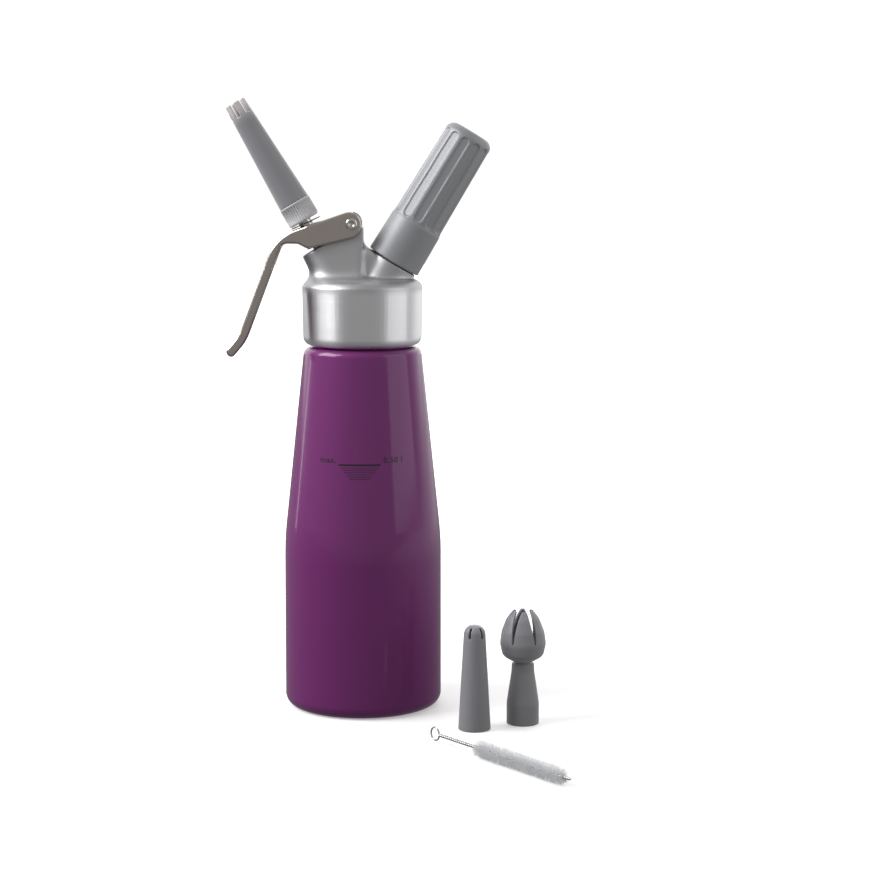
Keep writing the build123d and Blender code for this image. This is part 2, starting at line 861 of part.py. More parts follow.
# ---- In the charger boss: hollow needle, seal and check valve ----
insert_radius = socket_radius - fixed_gap
with BuildPart() as piercing_insert:
    turn(
        charger,
        (needle_bore_radius, -needle_bed_depth),
        (insert_radius, -needle_bed_depth),
        (insert_radius, insert_flange),
        (needle_radius, insert_flange),
        (needle_radius, needle_reach - 1),
        (needle_bore_radius + 0.1, needle_reach),
        (needle_bore_radius, needle_reach),
    )
save(piercing_insert, "piercing_insert")

with BuildPart() as charger_seal:
    turn(
        charger,
        (needle_radius + seat_gap, insert_flange),
        (insert_radius, insert_flange),
        (insert_radius, insert_flange + charger_seal_thickness),
        (needle_radius + seat_gap, insert_flange + charger_seal_thickness),
    )
save(charger_seal, "charger_seal")

with BuildPart() as check_valve:
    turn(
        charger,
        (1, -check_valve_depth),
        (check_valve_radius - fixed_gap, -check_valve_depth),
        (check_valve_radius - fixed_gap, -check_valve_depth - 2, 0.3),
        (2.2, -check_valve_depth - 2.6, 0.4),
        (1, -check_valve_depth - check_valve_length, 0.3),
        (0, -check_valve_depth - check_valve_length),
        (0, -check_valve_depth - check_valve_length + 1),
        (1, -check_valve_depth - check_valve_length + 3),
    )
save(check_valve, "check_valve")

# ---- Gas charger, the metal liner it sits in and the grooved plastic holder ----
cartridge_foot = cartridge_tip_height
cartridge_end = cartridge_foot + cartridge_length
cartridge_shoulder = cartridge_foot + cartridge_neck_length
with BuildPart() as n2o_charger:
    turn(
        charger,
        (needle_radius + 0.2, cartridge_foot),
        (cartridge_neck_radius, cartridge_foot, 0.8),
        (cartridge_neck_radius, cartridge_shoulder, 3),
        (cartridge_radius, cartridge_shoulder + cartridge_shoulder_length, 9),
        (cartridge_radius, cartridge_end, 8.5),
        (0, cartridge_end),
        (0, cartridge_end - cartridge_wall),
        (cartridge_radius - cartridge_wall, cartridge_end - cartridge_wall, 6.7),
        (cartridge_radius - cartridge_wall, cartridge_shoulder + cartridge_shoulder_length + 0.8, 7.2),
        (cartridge_neck_radius - cartridge_wall, cartridge_shoulder + 0.6, 2),
        (cartridge_neck_radius - cartridge_wall, cartridge_foot + 3),
        (needle_radius + 0.2, cartridge_foot + 3),
    )
save(n2o_charger, "n2o_charger")

liner_bore = cartridge_radius + liner_gap
liner_thread_bore = boss_spigot_radius + thread_gap
liner_thread_end = boss_spigot_length + liner_thread_run
liner_end = cartridge_end + liner_wall
with BuildPart() as holder_liner:
    turn(
        charger,
        (liner_thread_bore, 2 * seat_gap),
        (liner_thread_bore + liner_wall, 2 * seat_gap),
        (liner_thread_bore + liner_wall, liner_thread_end + liner_wall),
        (liner_bore + liner_wall, liner_thread_end + 3 * liner_wall),
        (liner_bore + liner_wall, liner_end, 3),
        (0, liner_end),
        (0, cartridge_end),
        (liner_bore, cartridge_end, 2),
        (liner_bore, liner_thread_end + liner_wall),
        (liner_thread_bore, liner_thread_end),
    )
save(holder_liner, "holder_liner")

holder_end = seat_gap + holder_length
groove_middle = seat_gap + holder_band_length + groove_margin + groove_length / 2
grip_slope = (holder_grip_radius - holder_end_radius) / (holder_length - holder_band_length)
groove_floor = holder_grip_radius - grip_slope * (groove_middle - holder_band_length) - groove_depth
with BuildPart() as charger_holder:
    turn(
        charger,
        (liner_thread_bore + liner_wall + fixed_gap, seat_gap),
        (holder_band_radius, seat_gap, 0.5),
        (holder_band_top_radius, seat_gap + holder_band_length, 0.2),
        (holder_grip_radius, seat_gap + holder_band_length),
        (holder_end_radius, holder_end, holder_end_round),
        (0, holder_end),
        (0, holder_end - holder_end_wall),
        (liner_bore + liner_wall + fixed_gap, holder_end - holder_end_wall, 2),
        (liner_bore + liner_wall + fixed_gap, liner_thread_end + 3 * liner_wall),
        (liner_thread_bore + liner_wall + fixed_gap, liner_thread_end + liner_wall),
    )
    for groove in range(groove_count):
        turned = radians(groove_turn + 360 / groove_count * groove)
        around = charger.x_dir * cos(turned) + charger.y_dir * sin(turned)
        normal = around + charger.z_dir * grip_slope
        with BuildSketch(
            Plane(
                origin=charger.origin + charger.z_dir * groove_middle + around * groove_floor,
                x_dir=charger.z_dir - around * grip_slope,
                z_dir=normal,
            )
        ) as groove_shape:
            SlotOverall(groove_length, groove_width)
        extrude(amount=holder_band_radius / 4, mode=Mode.SUBTRACT)
save(charger_holder, "charger_holder")

# ---- Cleaning brush: a twisted wire with a loop, and its bristles ----
with BuildPart() as brush_wire:
    turn(
        brush_place,
        (0, -loop_wire_radius / 2),
        (brush_wire_radius, -loop_wire_radius / 2, 0.3),
        (brush_wire_radius, brush_length, 0.3),
        (0, brush_length),
    )
    with Locations(
        Plane(
            origin=brush_place.origin - brush_heading * loop_radius,
            x_dir=brush_heading,
            z_dir=brush_place.y_dir,
        )
    ):
        Torus(loop_radius, loop_wire_radius)
save(brush_wire, "brush_wire")

with BuildPart() as brush_bristles:
    turn(
        brush_place,
        (brush_wire_radius + fixed_gap, bristle_start),
        (bristle_radius, bristle_start, 1),
        (bristle_radius, bristle_start + bristle_length, 2.5),
        (brush_wire_radius + fixed_gap, bristle_start + bristle_length),
    )
save(brush_bristles, "brush_bristles")
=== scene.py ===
# %% [markdown]
# # A whipped-cream dispenser in a white studio
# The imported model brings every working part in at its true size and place. This script dresses it:
# it rounds the edges that casting, pressing and moulding leave round, adds what is too fine for the
# solids, gives each part the finish of its real material, and lights it all like a product on a
# white table. Lengths are in metres, +Z is up, the spout leans to -X and the gas charger to +X.

# %% Load the parts
import json
import math
import random

import bmesh
import bpy
from mathutils import Matrix, Vector
from mathutils.bvhtree import BVHTree
from mathutils.kdtree import KDTree


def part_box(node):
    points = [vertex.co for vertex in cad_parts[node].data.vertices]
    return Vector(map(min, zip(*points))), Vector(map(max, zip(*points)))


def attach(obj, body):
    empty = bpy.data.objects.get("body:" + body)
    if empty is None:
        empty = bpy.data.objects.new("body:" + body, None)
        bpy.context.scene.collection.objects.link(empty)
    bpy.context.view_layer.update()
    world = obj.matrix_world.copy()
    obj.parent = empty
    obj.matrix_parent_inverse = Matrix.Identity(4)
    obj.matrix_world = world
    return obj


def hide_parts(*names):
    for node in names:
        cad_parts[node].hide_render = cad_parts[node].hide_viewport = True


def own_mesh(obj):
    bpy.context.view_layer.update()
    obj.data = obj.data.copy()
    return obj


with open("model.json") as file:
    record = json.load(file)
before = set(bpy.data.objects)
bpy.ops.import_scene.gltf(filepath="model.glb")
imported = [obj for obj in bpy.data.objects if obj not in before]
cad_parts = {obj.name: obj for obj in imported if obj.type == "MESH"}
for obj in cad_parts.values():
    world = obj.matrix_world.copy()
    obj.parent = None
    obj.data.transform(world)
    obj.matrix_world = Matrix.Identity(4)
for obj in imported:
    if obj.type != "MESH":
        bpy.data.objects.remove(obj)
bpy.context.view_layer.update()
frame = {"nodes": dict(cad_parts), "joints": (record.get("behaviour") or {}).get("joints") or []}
nodes = frame["nodes"]
MM = 0.001
print("parts:", len(nodes))

# %% [markdown]
# Three lines carry everything else: the bottle's own axis, the spout's and the charger's. The last
# two start on the bottle's axis and lean along the directions that their sliding joints state.
# Each gets a matrix of its own, so that a piece on it can be drawn as if it stood upright.

# %% Axes of the spout and of the charger
axis_of_joint = {joint["name"]: Vector(joint["axis"]) for joint in frame["joints"]}
SPOUT_OUT = axis_of_joint["tip_off"].normalized()
CHARGER_OUT = axis_of_joint["holder_draw"].normalized()
SPOUT_RIM = Vector((0, 0, 198.87 * MM)) + SPOUT_OUT * 42.65 * MM
BOSS_FACE = Vector((0, 0, 201.6 * MM)) + CHARGER_OUT * 30.2 * MM


def axis_frame(origin, out):
    """A matrix whose Z runs along out and whose X stays in the lever's plane."""
    side = Vector((0, 1, 0))
    across = side.cross(out).normalized()
    return Matrix.Translation(origin) @ Matrix((across, side, out)).transposed().to_4x4()


SPOUT = axis_frame(SPOUT_RIM, SPOUT_OUT)
CHARGER = axis_frame(BOSS_FACE, CHARGER_OUT)
print("spout leans", round(math.degrees(SPOUT_OUT.angle(Vector((0, 0, 1)))), 1), "degrees")

# %% [markdown]
# The camera stands a little over a metre away and looks slightly down, with a long lens, as for a
# catalogue. A small downward shift keeps the bottle's sides nearly parallel. The Standard view
# transform shows colours as they are, where a filmic one would grey the white table.

# %% Camera
camera_data = bpy.data.cameras.new("camera")
camera = bpy.data.objects.new("camera", camera_data)
bpy.context.collection.objects.link(camera)
camera.location = (18.24 * MM, -1100 * MM, 281.3 * MM)
CAMERA_PITCH = 0.08861
CAMERA_YAW = 0.01703
camera.rotation_euler = (math.pi / 2 - CAMERA_PITCH, 0, -CAMERA_YAW)
camera_data.sensor_width = 36
camera_data.lens = 89.49
camera_data.shift_y = -0.1
camera_data.clip_start, camera_data.clip_end = 0.05, 50
bpy.context.scene.camera = camera
bpy.context.scene.view_settings.view_transform = "Standard"
print("camera", tuple(round(v, 3) for v in camera.location))


# %% [markdown]
# Colours are written the way a paint program shows them, as sRGB hex, and shaders want linear
# light, so one function turns one into the other. A second adds a node with its settings and
# links, and is all that the materials below need.

# %% Colours and shader nodes
def linear(hex_colour):
    """An sRGB hex colour as linear RGBA."""
    parts = [int(hex_colour[i:i + 2], 16) / 255 for i in (1, 3, 5)]
    return tuple(c / 12.92 if c <= 0.04045 else ((c + 0.055) / 1.055) ** 2.4 for c in parts) + (1,)


def node(tree, kind, links=None, **settings):
    """Adds a node. settings are its properties or input values, _ for a space; links feed inputs."""
    made = tree.nodes.new(kind)
    for key, value in settings.items():
        if hasattr(made, key) and key not in made.inputs:
            setattr(made, key, value)
        else:
            made.inputs[key if key in made.inputs else key.replace("_", " ")].default_value = value
    for key, source in (links or {}).items():
        tree.links.new(source, made.inputs[key])
    return made


def new_material(name):
    """A material without any nodes, and its node tree."""
    material = bpy.data.materials.new(name)
    material.use_nodes = True
    material.node_tree.nodes.clear()
    return material, material.node_tree


# A Mix node has an A and a B for every kind of data. These are the numbers of its two colours.
MIX_A, MIX_B = 6, 7
WHITE = linear("#ffffff")
print("mid grey #808080 is", round(linear("#808080")[0], 3), "in linear light")

# %% [markdown]
# ## Room
# White table, white room, two big soft boxes. What a shiny round part shows is the room around it:
# a bright box on the left, a weaker one on the right, and the dim side where the camera stands.
# The world is drawn as that room, by direction, and the eye sees plain white behind the object.

# %% World
world = bpy.data.worlds.new("studio")
bpy.context.scene.world = world
world.use_nodes = True
room = world.node_tree
room.nodes.clear()
direction = node(room, "ShaderNodeTexCoord").outputs["Generated"]
towards = node(room, "ShaderNodeSeparateXYZ", {"Vector": direction}).outputs
back_wall = node(
    room, "ShaderNodeMapRange", {"Value": towards["Y"]}, interpolation_type="SMOOTHSTEP",
    From_Min=0.15, From_Max=0.8, To_Min=0.37, To_Max=1.35,
)
ceiling = node(
    room, "ShaderNodeMapRange", {"Value": towards["Z"]}, interpolation_type="SMOOTHSTEP",
    From_Min=0.25, From_Max=0.75, To_Min=0, To_Max=0.05,
)
brightness = node(
    room, "ShaderNodeMath", {0: back_wall.outputs[0], 1: ceiling.outputs[0]}, operation="ADD"
)
lit = node(room, "ShaderNodeBackground", {"Strength": brightness.outputs[0]}, Color=linear("#fffefd"))
seen = node(room, "ShaderNodeBackground", Color=WHITE, Strength=1.05)
is_seen = node(room, "ShaderNodeLightPath").outputs["Is Camera Ray"]
both = node(room, "ShaderNodeMixShader", {0: is_seen, 1: lit.outputs[0], 2: seen.outputs[0]})
node(room, "ShaderNodeOutputWorld", {"Surface": both.outputs[0]})
print("world nodes:", len(room.nodes))

# %% [markdown]
# A studio's soft boxes are area lights: the larger the box, the softer its shadow and the broader
# its reflection. The key box stands high on the left, a larger and weaker one fills the right side,
# and a narrow strip behind on the left draws a thin bright line down the bottle's edge.

# %% Soft boxes
AIMED_AT = Vector((0, 0, 0.15))


def soft_box(name, angle, distance, height, size, power):
    """A rectangular light aimed at the object, in metres and watts.

    angle is in degrees from the camera's side, and turns to the right.
    """
    data = bpy.data.lights.new(name, "AREA")
    data.shape = "RECTANGLE"
    data.size, data.size_y = size
    data.energy = power
    light = bpy.data.objects.new(name, data)
    bpy.context.collection.objects.link(light)
    turn = math.radians(angle)
    light.location = (math.sin(turn) * distance, -math.cos(turn) * distance, height)
    aim = AIMED_AT - light.location
    light.rotation_euler = aim.to_track_quat("-Z", "Y").to_euler()
    print(name, tuple(round(v, 2) for v in light.location))


soft_box("key_box", -78, 0.9, 0.83, (0.8, 0.66), 13.5)
soft_box("side_box", 72, 1.2, 0.62, (1.15, 1.1), 3.6)
soft_box("edge_strip", -118, 1.1, 0.35, (0.06, 0.9), 0.45)

# %% [markdown]
# The table is one white sheet with a satin skin. A very faint mottle keeps it from looking
# computed, and a glow that grows with the distance lets it melt into the white behind, as an
# overlit backdrop does. Reflections see a dimmer sheet that brightens to the right, because a fully
# glowing table would wash out the dark lacquer.

# %% Table paper
floor_finish, tree = new_material("white_table_paper")
# So wide and even a glow is found by chance anyway, and is noisy as a light to aim at.
floor_finish.cycles.emission_sampling = "NONE"
spot = node(tree, "ShaderNodeTexCoord").outputs["Object"]
mottle = node(tree, "ShaderNodeTexNoise", Scale=3.0, Detail=3)
tone = node(tree, "ShaderNodeMapRange", {"Value": mottle.outputs["Fac"]}, To_Min=0.86, To_Max=0.88)
away = node(tree, "ShaderNodeVectorMath", {0: spot}, operation="LENGTH")
# The glow is weakest near the object, so the table darkens round its foot: painted shade added to the
# real shadow.
glow = node(
    tree, "ShaderNodeMapRange", {"Value": away.outputs["Value"]}, interpolation_type="SMOOTHSTEP",
    From_Min=0.12, From_Max=0.9, To_Min=0.33, To_Max=1.1,
)
paper = node(
    tree, "ShaderNodeBsdfPrincipled",
    {"Base Color": tone.outputs[0], "Emission Strength": glow.outputs[0]},
    Roughness=0.6, Emission_Color=WHITE,
)
across = node(tree, "ShaderNodeSeparateXYZ", {"Vector": spot})
side_glow = node(
    tree, "ShaderNodeMapRange", {"Value": across.outputs["X"]}, interpolation_type="SMOOTHSTEP",
    From_Min=0.1, From_Max=0.8, To_Min=0.2, To_Max=0.75,
)
dim_paper = node(tree, "ShaderNodeEmission", {"Strength": side_glow.outputs[0]}, Color=WHITE)
looked_at = node(tree, "ShaderNodeLightPath").outputs["Is Camera Ray"]
both = node(tree, "ShaderNodeMixShader", {0: looked_at, 1: dim_paper.outputs[0], 2: paper.outputs[0]})
node(tree, "ShaderNodeOutputMaterial", {"Surface": both.outputs[0]})
print("paper nodes:", len(tree.nodes))

# %% [markdown]
# The sheet is a single face that runs far back behind the object and a little in front of it. It
# is tied to no body, so it isn't a part of the object.

# %% Floor
FLOOR_HALF, FLOOR_NEAR, FLOOR_FAR = 3.0, -0.6, 4.5
corners = [
    (-FLOOR_HALF, FLOOR_NEAR, 0), (FLOOR_HALF, FLOOR_NEAR, 0),
    (FLOOR_HALF, FLOOR_FAR, 0), (-FLOOR_HALF, FLOOR_FAR, 0),
]
floor_mesh = bpy.data.meshes.new("floor")
floor_mesh.from_pydata(corners, [], [(0, 1, 2, 3)])
floor = bpy.data.objects.new("floor", floor_mesh)
bpy.context.collection.objects.link(floor)
floor_mesh.materials.append(floor_finish)
print("floor", 2 * FLOOR_HALF, "m wide")

# %% [markdown]
# ## Finishes
# The bottle is drawn aluminium under a purple lacquer: an opaque colour full of pigment, and a
# hard clear coat on top. The coat gives the sharp reflections, the body the broad soft ones. An
# all-metal body would be darker between its reflections, so the paint has only a little metal in it.

# %% Purple lacquer
lacquer, tree = new_material("purple_lacquer_on_aluminium")
place = node(tree, "ShaderNodeTexCoord").outputs["Object"]
# Lacquer levels out in waves about 6 mm long, very low, which only its coat shows.
ORANGE_PEEL = 6 * MM
peel = node(tree, "ShaderNodeTexNoise", {"Vector": place}, Scale=1 / ORANGE_PEEL, Detail=2)
peel_bump = node(
    tree, "ShaderNodeBump", {"Height": peel.outputs["Fac"]}, Strength=0.03, Distance=0.3 * MM
)
# The colour drifts by one shade over some 55 mm, as the thickness of a sprayed coat does.
depth_tone = node(tree, "ShaderNodeTexNoise", {"Vector": place}, Scale=18, Detail=3)
purple = node(tree, "ShaderNodeMix", {"Factor": depth_tone.outputs["Fac"]}, data_type="RGBA")
purple.inputs[MIX_A].default_value = linear("#722a6d")
purple.inputs[MIX_B].default_value = linear("#782d71")
paint = node(
    tree, "ShaderNodeBsdfPrincipled",
    {"Base Color": purple.outputs[2], "Coat Normal": peel_bump.outputs[0]},
    Metallic=0.12, Roughness=0.5, Specular_IOR_Level=0.1,
    Coat_Weight=1.0, Coat_Roughness=0.12, Coat_IOR=1.42,
)
node(tree, "ShaderNodeOutputMaterial", {"Surface": paint.outputs[0]})
print("lacquer nodes:", len(tree.nodes))

# %% [markdown]
# Metals: the head is cast, then turned and brushed, so its grain runs round the collar. The
# lever is stainless sheet with the grain along it. Real grain is a few hundredths of a millimetre
# wide, too fine to show here, so it is drawn coarser. One stretched noise is the grain, and drives
# colour, roughness and bump alike, because a scratch changes all three at the same place.


# %% Brushed metals
def brushed(name, hex_colour, roughness, grain, spread, height, variation=0.06, streak=0.0):
    """A brushed metal. grain is the (x, y, z) scratch spacing, height the scratch depth, in mm."""
    material, tree = new_material(name)
    place = node(tree, "ShaderNodeTexCoord").outputs["Object"]
    stretched = node(
        tree, "ShaderNodeMapping", {"Vector": place}, Scale=[1 / (spacing * MM) for spacing in grain]
    )
    lines = node(tree, "ShaderNodeTexNoise", {"Vector": stretched.outputs[0]}, Scale=1, Detail=4)
    scratch = lines.outputs["Fac"]
    rough = node(
        tree, "ShaderNodeMapRange", {"Value": scratch},
        To_Min=roughness - spread, To_Max=roughness + spread,
    )
    tone = node(tree, "ShaderNodeMapRange", {"Value": scratch}, To_Min=1 - variation, To_Max=1)
    colour = node(tree, "ShaderNodeMix", {"Factor": tone.outputs[0]}, data_type="RGBA")
    colour.inputs[MIX_A].default_value = (0, 0, 0, 1)
    colour.inputs[MIX_B].default_value = linear(hex_colour)
    bump = node(tree, "ShaderNodeBump", {"Height": scratch}, Strength=0.25, Distance=height * MM)
    metal = node(
        tree, "ShaderNodeBsdfPrincipled",
        {"Base Color": colour.outputs[2], "Roughness": rough.outputs[0], "Normal": bump.outputs[0]},
        Metallic=1.0,
    )
    if streak:
        round_axis = node(tree, "ShaderNodeTangent", direction_type="RADIAL", axis="Z")
        tree.links.new(round_axis.outputs[0], metal.inputs["Tangent"])
        metal.inputs["Anisotropic"].default_value = streak
        metal.inputs["Anisotropic Rotation"].default_value = 0.25
    node(tree, "ShaderNodeOutputMaterial", {"Surface": metal.outputs[0]})
    return material


LATHE_STREAK = 0.9
# Round the bottle's axis the grain is level, so its spacing is short only in height.
turned_aluminium = brushed(
    "brushed_cast_aluminium", "#e9e9ec", 0.33, (40, 40, 0.4), 0.05, 0.02,
    variation=0.08, streak=LATHE_STREAK,
)
pressed_steel = brushed("brushed_stainless_sheet", "#bcb3ad", 0.2, (5, 0.5, 5), 0.05, 0.01)
# The washer's dark grey is painted shade for the gap between the adapter and the lever.
shade_dark_washer_steel = brushed("washer_steel_darkened_as_shade", "#5f5b58", 0.35, (3, 3, 3), 0.05, 0.005)
bright_steel = brushed("polished_stainless", "#cfcdca", 0.18, (3, 3, 3), 0.04, 0.005)
spring_steel = brushed("drawn_spring_wire", "#a9a9ad", 0.28, (2, 2, 2), 0.05, 0.01)
plated_steel = brushed("zinc_plated_steel", "#b5b8bd", 0.35, (5, 5, 5), 0.08, 0.01)
liner_metal = brushed("drawn_aluminium", "#d7d8da", 0.33, (4, 4, 4), 0.05, 0.01)
turned_brass = brushed("turned_brass", "#cba35a", 0.28, (3, 3, 0.4), 0.05, 0.01)
print("lathe finish nodes:", len(turned_aluminium.node_tree.nodes))

# %% [markdown]
# Only the head's collar is turned bright on the lathe. Above it the casting is blasted to a satin:
# rougher and nearly free of the lathe's streaks. Its colour there is also darkened by a third, which
# is painted shade on the dome, neck and boss. It is all one piece of metal, so it stays one material,
# whose finish changes over 6 mm of height.

# %% Satin above the collar
COLLAR_BRIGHT_TO, SATIN_FROM = 211 * MM, 217 * MM
SATIN_ROUGHER, SATIN_STREAK, SATIN_PAINTED_SHADE = 0.17, 0.3, 0.66
tree = turned_aluminium.node_tree
metal = next(n for n in tree.nodes if n.bl_idname == "ShaderNodeBsdfPrincipled")
lathe_rough = metal.inputs["Roughness"].links[0].from_socket
bright = metal.inputs["Base Color"].links[0].from_socket
place = node(tree, "ShaderNodeTexCoord").outputs["Object"]
height = node(tree, "ShaderNodeSeparateXYZ", {"Vector": place}).outputs["Z"]
satin = node(
    tree, "ShaderNodeMapRange", {"Value": height}, interpolation_type="SMOOTHSTEP",
    From_Min=COLLAR_BRIGHT_TO, From_Max=SATIN_FROM, To_Max=SATIN_ROUGHER,
)
rougher = node(tree, "ShaderNodeMath", {0: lathe_rough, 1: satin.outputs[0]}, operation="ADD")
grain_left = node(
    tree, "ShaderNodeMapRange", {"Value": satin.outputs[0]},
    From_Max=SATIN_ROUGHER, To_Min=LATHE_STREAK, To_Max=SATIN_STREAK,
)
# The base colour is scaled down above the collar: painted shade, not a colour of the metal.
shade = node(
    tree, "ShaderNodeMapRange", {"Value": satin.outputs[0]},
    From_Max=SATIN_ROUGHER, To_Min=1.0, To_Max=SATIN_PAINTED_SHADE,
)
painted_shade_colour = node(tree, "ShaderNodeVectorMath", {0: bright, "Scale": shade.outputs[0]}, operation="SCALE")
tree.links.new(rougher.outputs[0], metal.inputs["Roughness"])
tree.links.new(grain_left.outputs[0], metal.inputs["Anisotropic"])
tree.links.new(painted_shade_colour.outputs[0], metal.inputs["Base Color"])
print("satin from", round(SATIN_FROM / MM), "mm up")

# %% [markdown]
# Plastics: the tips are polypropylene from a finely spark-eroded mould, matt with a slight
# sheen. The adapter is a lighter, smoother one. The holder is silver-grey ABS with fine metal flake
# in it. Rubber seals are black. All are dielectrics, so their IOR is about 1.5.

# %% Plastics and rubber
PLASTIC_IOR = 1.49
# Slow flow in the mould leaves clouds of colour, some 12 mm wide.
FLOW_CLOUD = 12 * MM


def moulded(name, hex_colour, roughness, grit, grit_strength, metallic=0.0, contrast=0.05, sheen=0.0):
    """A moulded material. grit is the size of the mould's texture in mm."""
    material, tree = new_material(name)
    place = node(tree, "ShaderNodeTexCoord").outputs["Object"]
    skin = node(tree, "ShaderNodeTexNoise", {"Vector": place}, Scale=1 / (grit * MM), Detail=3)
    cloud = node(tree, "ShaderNodeTexNoise", {"Vector": place}, Scale=1 / FLOW_CLOUD, Detail=2)
    tone = node(
        tree, "ShaderNodeMapRange", {"Value": cloud.outputs["Fac"]},
        To_Min=1 - contrast, To_Max=1 + contrast,
    )
    colour = node(tree, "ShaderNodeVectorMath", {"Scale": tone.outputs[0]}, operation="SCALE")
    colour.inputs[0].default_value = linear(hex_colour)[:3]
    rough = node(
        tree, "ShaderNodeMapRange", {"Value": skin.outputs["Fac"]},
        To_Min=roughness - 0.05, To_Max=roughness + 0.05,
    )
    bump = node(
        tree, "ShaderNodeBump", {"Height": skin.outputs["Fac"]},
        Strength=grit_strength, Distance=0.05 * MM,
    )
    body = node(
        tree, "ShaderNodeBsdfPrincipled",
        {"Base Color": colour.outputs[0], "Roughness": rough.outputs[0], "Normal": bump.outputs[0]},
        Metallic=metallic, IOR=PLASTIC_IOR, Sheen_Weight=sheen,
    )
    node(tree, "ShaderNodeOutputMaterial", {"Surface": body.outputs[0]})
    return material


tip_plastic = moulded("mid_grey_polypropylene", "#8b8b90", 0.38, 0.5, 0.04, sheen=0.5)
ring_plastic = moulded("light_grey_polypropylene", "#d2d1d4", 0.42, 0.5, 0.0)
holder_plastic = moulded("silver_grey_abs", "#98999d", 0.5, 0.5, 0.0, metallic=0.3)
black_rubber = moulded("black_nitrile_rubber", "#1c1c1e", 0.6, 0.5, 0.2)
bristle_nylon = moulded("white_nylon", "#f2f3f5", 0.35, 1.0, 0.05, contrast=0.02)
printing_ink = moulded("dark_printing_ink", "#1a121d", 0.4, 0.3, 0.1, contrast=0.02)
print("moulded finish nodes:", len(tip_plastic.node_tree.nodes))

# %% [markdown]
# The fitted tip's wall gets thin at its notched end, and light comes through it there. Real
# translucency costs much render time for so small a place, so the plastic only turns paler over
# the last centimetre, measured along the spout from its rim.

# %% Plastic of the thin end
THIN_FROM, THIN_TO = 72 * MM, 82 * MM
thin_end_plastic = tip_plastic.copy()
thin_end_plastic.name = "mid_grey_polypropylene_thin_end"
tree = thin_end_plastic.node_tree
body = next(n for n in tree.nodes if n.bl_idname == "ShaderNodeBsdfPrincipled")
grey = body.inputs["Base Color"].links[0].from_socket
place = node(tree, "ShaderNodeTexCoord").outputs["Object"]
from_rim = node(tree, "ShaderNodeVectorMath", {0: place}, operation="SUBTRACT")
from_rim.inputs[1].default_value = SPOUT_RIM
along = node(tree, "ShaderNodeVectorMath", {0: from_rim.outputs[0]}, operation="DOT_PRODUCT")
along.inputs[1].default_value = SPOUT_OUT
thinness = node(
    tree, "ShaderNodeMapRange", {"Value": along.outputs["Value"]}, interpolation_type="SMOOTHSTEP",
    From_Min=THIN_FROM, From_Max=THIN_TO,
)
pale = node(tree, "ShaderNodeMix", {"Factor": thinness.outputs[0], MIX_A: grey}, data_type="RGBA")
pale.inputs[MIX_B].default_value = linear("#cfc8c8")
tree.links.new(pale.outputs[2], body.inputs["Base Color"])
print("paler from", round(THIN_FROM / MM), "to", round(THIN_TO / MM), "mm along the spout")


# %% [markdown]
# ## Making pieces
# Every piece that is drawn here becomes a plain mesh with smooth shading, gets its finish, and is
# tied to the body that it moves with. A solid that is right as it is gets only its finish.

# %% Meshes and their finish
def link(mesh, name):
    """An object for a mesh, in the scene."""
    made = bpy.data.objects.new(name, mesh)
    bpy.context.collection.objects.link(made)
    return made


def as_mesh(drawn):
    """Swaps an object, with its modifiers or its curve, for a plain mesh of the same shape."""
    graph = bpy.context.evaluated_depsgraph_get()
    mesh = bpy.data.meshes.new_from_object(drawn.evaluated_get(graph))
    name = drawn.name
    bpy.data.objects.remove(drawn)
    return link(mesh, name)


def from_bmesh(shape, name):
    """An object for a shape that was drawn point by point."""
    mesh = bpy.data.meshes.new(name)
    shape.to_mesh(mesh)
    shape.free()
    return link(mesh, name)


def smooth_shading(piece):
    """Shades every face smoothly."""
    piece.data.polygons.foreach_set("use_smooth", [True] * len(piece.data.polygons))
    piece.data.update()
    return piece


def coat(name, material):
    """Gives a CAD node a finish of its own."""
    nodes[name].data.materials.clear()
    nodes[name].data.materials.append(material)


def dress(piece, material, body, slot, *replaced):
    """Gives a piece its finish, its body and the CAD nodes that it stands for; slot is not used."""
    piece.data.materials.clear()
    piece.data.materials.append(material)
    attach(piece, body)
    if replaced:
        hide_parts(*replaced)
    print(piece.name, "on", body, "faces", len(piece.data.polygons))


# %% [markdown]
# Cast, pressed and moulded parts have no sharp edges. A bevel would have to be set edge by edge,
# and fails where small faces meet, so all edges are rounded at once: a part's mesh is copied,
# rebuilt on a fine grid of cubes (a voxel remesh), settled back onto the solid and relaxed a
# little. The grid is finer than the thinnest wall, so nothing closes up, and flat faces stay flat.
# Where a real part is rounder still, it is smoothed again by a share for each of its points.

# %% Rounded copies of solids
def rounded_copy(source, name, grid, passes):
    """A copy of a CAD solid with its edges rounded by about the grid's size."""
    mesh = nodes[source].data.copy()
    mesh.materials.clear()
    piece = link(mesh, name)
    remesh = piece.modifiers.new("grid", "REMESH")
    remesh.mode = "VOXEL"
    remesh.voxel_size = grid
    settle = piece.modifiers.new("settle", "SHRINKWRAP")
    settle.target = nodes[source]
    settle.wrap_method = "NEAREST_SURFACEPOINT"
    relax = piece.modifiers.new("relax", "SMOOTH")
    relax.factor = 0.5
    relax.iterations = passes
    return smooth_shading(as_mesh(piece))


def soften(piece, share_of, passes):
    """Smooths a piece further where share_of(point) is above 0."""
    group = piece.vertex_groups.new(name="soft")
    for vertex in piece.data.vertices:
        share = share_of(vertex.co)
        if share > 0:
            group.add([vertex.index], min(share, 1), "REPLACE")
    blend = piece.modifiers.new("blend", "SMOOTH")
    blend.vertex_group = group.name
    blend.factor = 0.5
    blend.iterations = passes
    return smooth_shading(as_mesh(piece))


# %% [markdown]
# Rings and rivets come off a lathe, and are made the same way here: a profile of radii and heights
# is carried round an axis in steps, and each step is joined to the next. Wire is drawn as a line
# through points that is given a round section.

